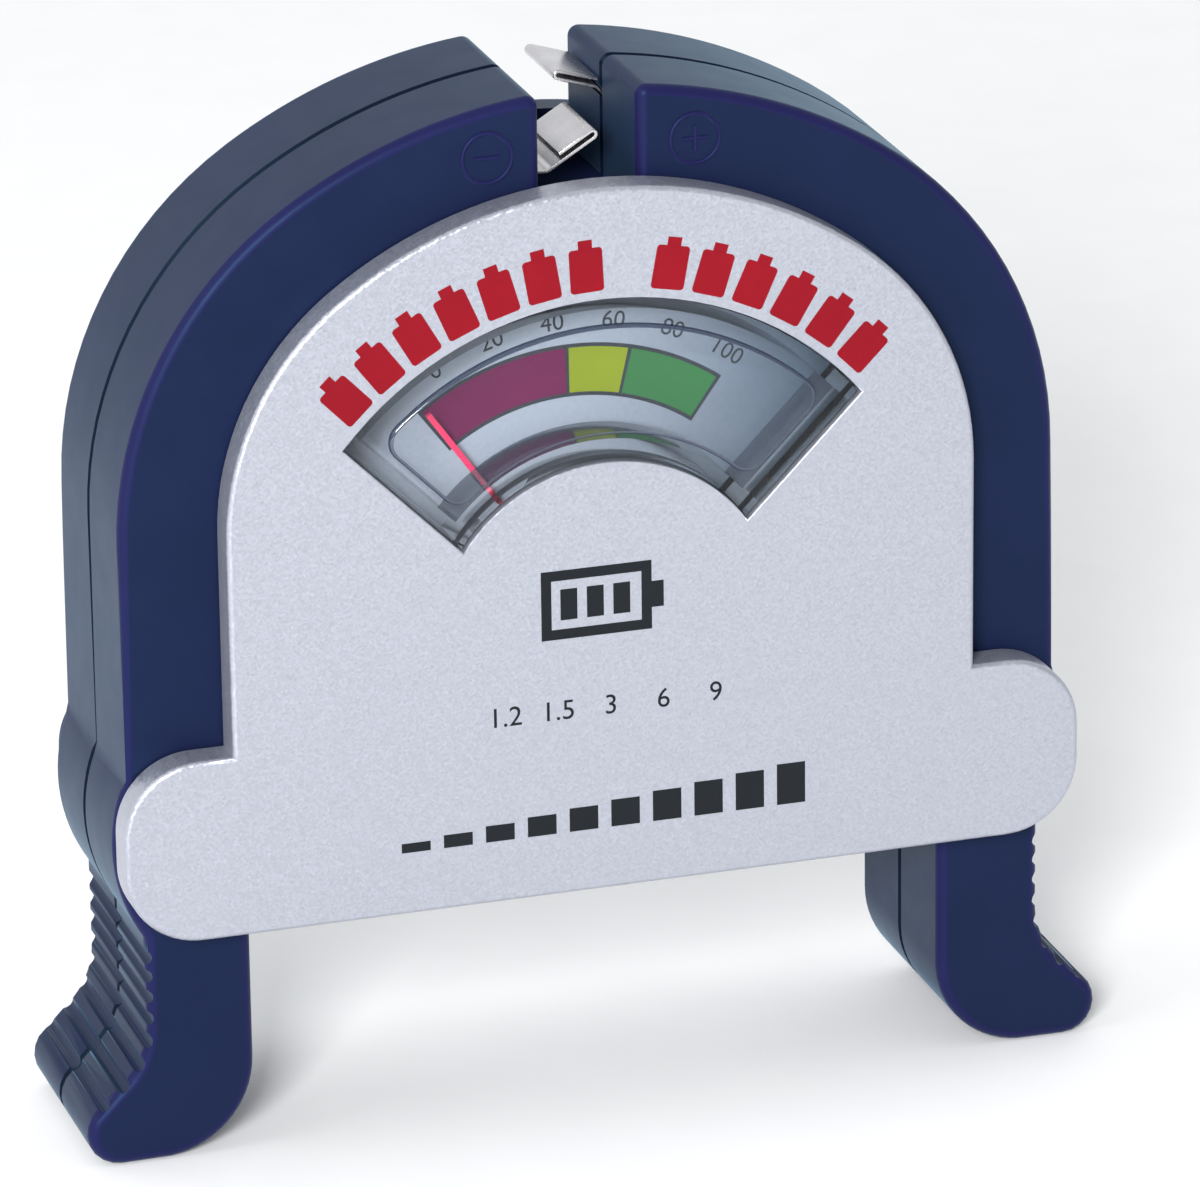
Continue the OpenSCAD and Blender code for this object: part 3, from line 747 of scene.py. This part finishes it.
def battery_symbol():
    """A battery outline that lies on its side, with three bars in it."""
    x0, z0, x1, z1 = -5.5, 21.8, 3.7, 27.6
    t = 0.85
    nub_inset, nub = 1.8, 1.0
    bar_inset, bar_w, bar_step = 1.6, 1.4, 2.2
    case = [
        box(x0, z0, x1, z0 + t),
        box(x0, z1 - t, x1, z1),
        box(x0, z0 + t, x0 + t, z1 - t),
        box(x1 - t, z0 + t, x1, z1 - t),
        box(x1, z0 + nub_inset, x1 + nub, z1 - nub_inset),
    ]
    lefts = [x0 + bar_inset + bar_step * i for i in range(3)]
    return case + [box(x, z0 + bar_inset, x + bar_w, z1 - bar_inset) for x in lefts]


def level_bars():
    """A row of bars on one line, each higher than the one before."""
    left, low, width, step = -17.4, 5.3, 2.4, 3.5
    first, rise = 0.8, 0.3
    return [
        box(left + step * i, low, left + step * i + width, low + first + rise * i)
        for i in range(10)
    ]


def cover_marks():
    """The print on the cover."""
    printed("cover_cell_row", cell_row(), INK_RED)
    printed("cover_battery_symbol", battery_symbol(), INK_BLACK)
    left, step, z, height = -8.6, 4.4, 15.7, 1.7
    voltages = [
        (text, (left + step * i, z), height, 0)
        for i, text in enumerate(("1.2", "1.5", "3", "6", "9"))
    ]
    numerals("cover_voltages", voltages, INK_BLACK, FACE_Y)
    printed("cover_level_bars", level_bars(), INK_BLACK)


def raised_lines(name, runs, body):
    """Fine raised lines on an arm's face. Each run is a list of points and whether it closes."""
    line_r = 0.18
    curve = bpy.data.curves.new(name, "CURVE")
    curve.dimensions = "3D"
    curve.bevel_depth = line_r * MM
    curve.bevel_resolution = 2
    curve.use_fill_caps = True
    for points, closed in runs:
        spline = curve.splines.new("POLY")
        spline.points.add(len(points) - 1)
        for p, (x, z) in zip(spline.points, points):
            p.co = (*to_frame(x, SHELL_Y, z), 1)
        spline.use_cyclic_u = closed
    obj = bpy.data.objects.new("lines", curve)
    bpy.context.scene.collection.objects.link(obj)
    # the lines take the painted highlight colour of the arms' edges
    obj = add_object(name, final_mesh(obj), [HIGHLIGHT_EDGE_BLUE], 60)
    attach(obj, body)


def polarity_marks():
    """A ringed minus on the left jaw and a ringed plus on the right one."""
    r, arm = 2.03, 1.05
    for name, body, at, strokes in (
        ("minus_mark", "left_arm", (-8.33, 61.2), 1),
        ("plus_mark", "right_arm", (8.72, 61.06), 2),
    ):
        ring = (arc(at, r, 0, 352.5, 47), True)
        x, z = at
        bars = [([(x - arm, z), (x + arm, z)], False), ([(x, z - arm), (x, z + arm)], False)]
        raised_lines(name, [ring] + bars[:strokes], body)


# ---- studio ----

def softbox(name, at, size, watts):
    """A square lamp at a place in metres, turned to the middle of the object."""
    middle = Vector((0, 0, 0.04))
    lamp = bpy.data.lights.new(name, "AREA")
    lamp.shape = "SQUARE"
    lamp.size = size
    lamp.energy = watts
    obj = bpy.data.objects.new(name, lamp)
    obj.location = at
    obj.rotation_euler = (middle - Vector(at)).to_track_quat("-Z", "Y").to_euler()
    bpy.context.scene.collection.objects.link(obj)


def world_light(front, back):
    """Even white light from all round, dimmer from the front than from the back."""
    world = bpy.data.worlds.new("studio")
    world.use_nodes = True
    bpy.context.scene.world = world
    tree = world.node_tree
    coord = tree.nodes.new("ShaderNodeTexCoord")
    split = tree.nodes.new("ShaderNodeSeparateXYZ")
    span = tree.nodes.new("ShaderNodeMapRange")
    span.inputs["From Min"].default_value = -0.7
    span.inputs["From Max"].default_value = 0.5
    span.inputs["To Min"].default_value = front
    span.inputs["To Max"].default_value = back
    tree.links.new(coord.outputs["Generated"], split.inputs["Vector"])
    tree.links.new(split.outputs["Y"], span.inputs["Value"])
    tree.links.new(span.outputs["Result"], tree.nodes["Background"].inputs["Strength"])
    tree.nodes["Background"].inputs["Color"].default_value = (0.96, 0.98, 1, 1)


def studio():
    """A white floor, a key light at the front left, a weak fill and the light from all round."""
    floor_bm = bmesh.new()
    bmesh.ops.create_grid(floor_bm, x_segments=8, y_segments=8, size=3)
    white = moulded(
        "studio_floor", (250, 250, 250), rough=(0.7, 0.8), grain=3, height=0.01, vary=0.004,
    )
    new_object("studio_floor", floor_bm, [white])
    softbox("key_softbox", (-0.5, -0.95, 0.5), 0.3, 16)
    softbox("left_softbox", (-0.9, -0.1, 0.7), 0.6, 2)
    world_light(0.38, 0.95)
    bpy.context.scene.view_settings.view_transform = "Standard"
    bpy.context.scene.view_settings.look = "None"


def camera():
    """Stands to the left in front and looks down a little, with a long lens."""
    target = Vector((3.376, 0, 40.229)) * MM
    distance = 675.96 * MM
    turn, down, roll = (math.radians(a) for a in (17.39, 20.16, 0.76))
    data = bpy.data.cameras.new("camera")
    data.lens = 250.5
    data.sensor_width = 36
    data.sensor_fit = "HORIZONTAL"
    data.clip_start = 0.01
    obj = bpy.data.objects.new("camera", data)
    spin = (
        Matrix.Rotation(-turn, 4, "Z")
        @ Matrix.Rotation(math.pi / 2 - down, 4, "X")
        @ Matrix.Rotation(-roll, 4, "Z")
    )
    obj.matrix_world = Matrix.Translation(target) @ spin @ Matrix.Translation((0, 0, distance))
    bpy.context.scene.collection.objects.link(obj)
    bpy.context.scene.camera = obj


def carry_over():
    """Gives every CAD node that still shows its slot's material."""
    for obj in NODES.values():
        for s in obj.material_slots:
            s.material = SLOTS[s.material.name]


camera()
moulding("front_cover", "case", front_cover_rounding)
moulding("rear_case", "case", rear_case_rounding)
arms()
lens()
small_parts()
flexing_wires()
dial_marks()
cover_marks()
polarity_marks()
carry_over()
studio()
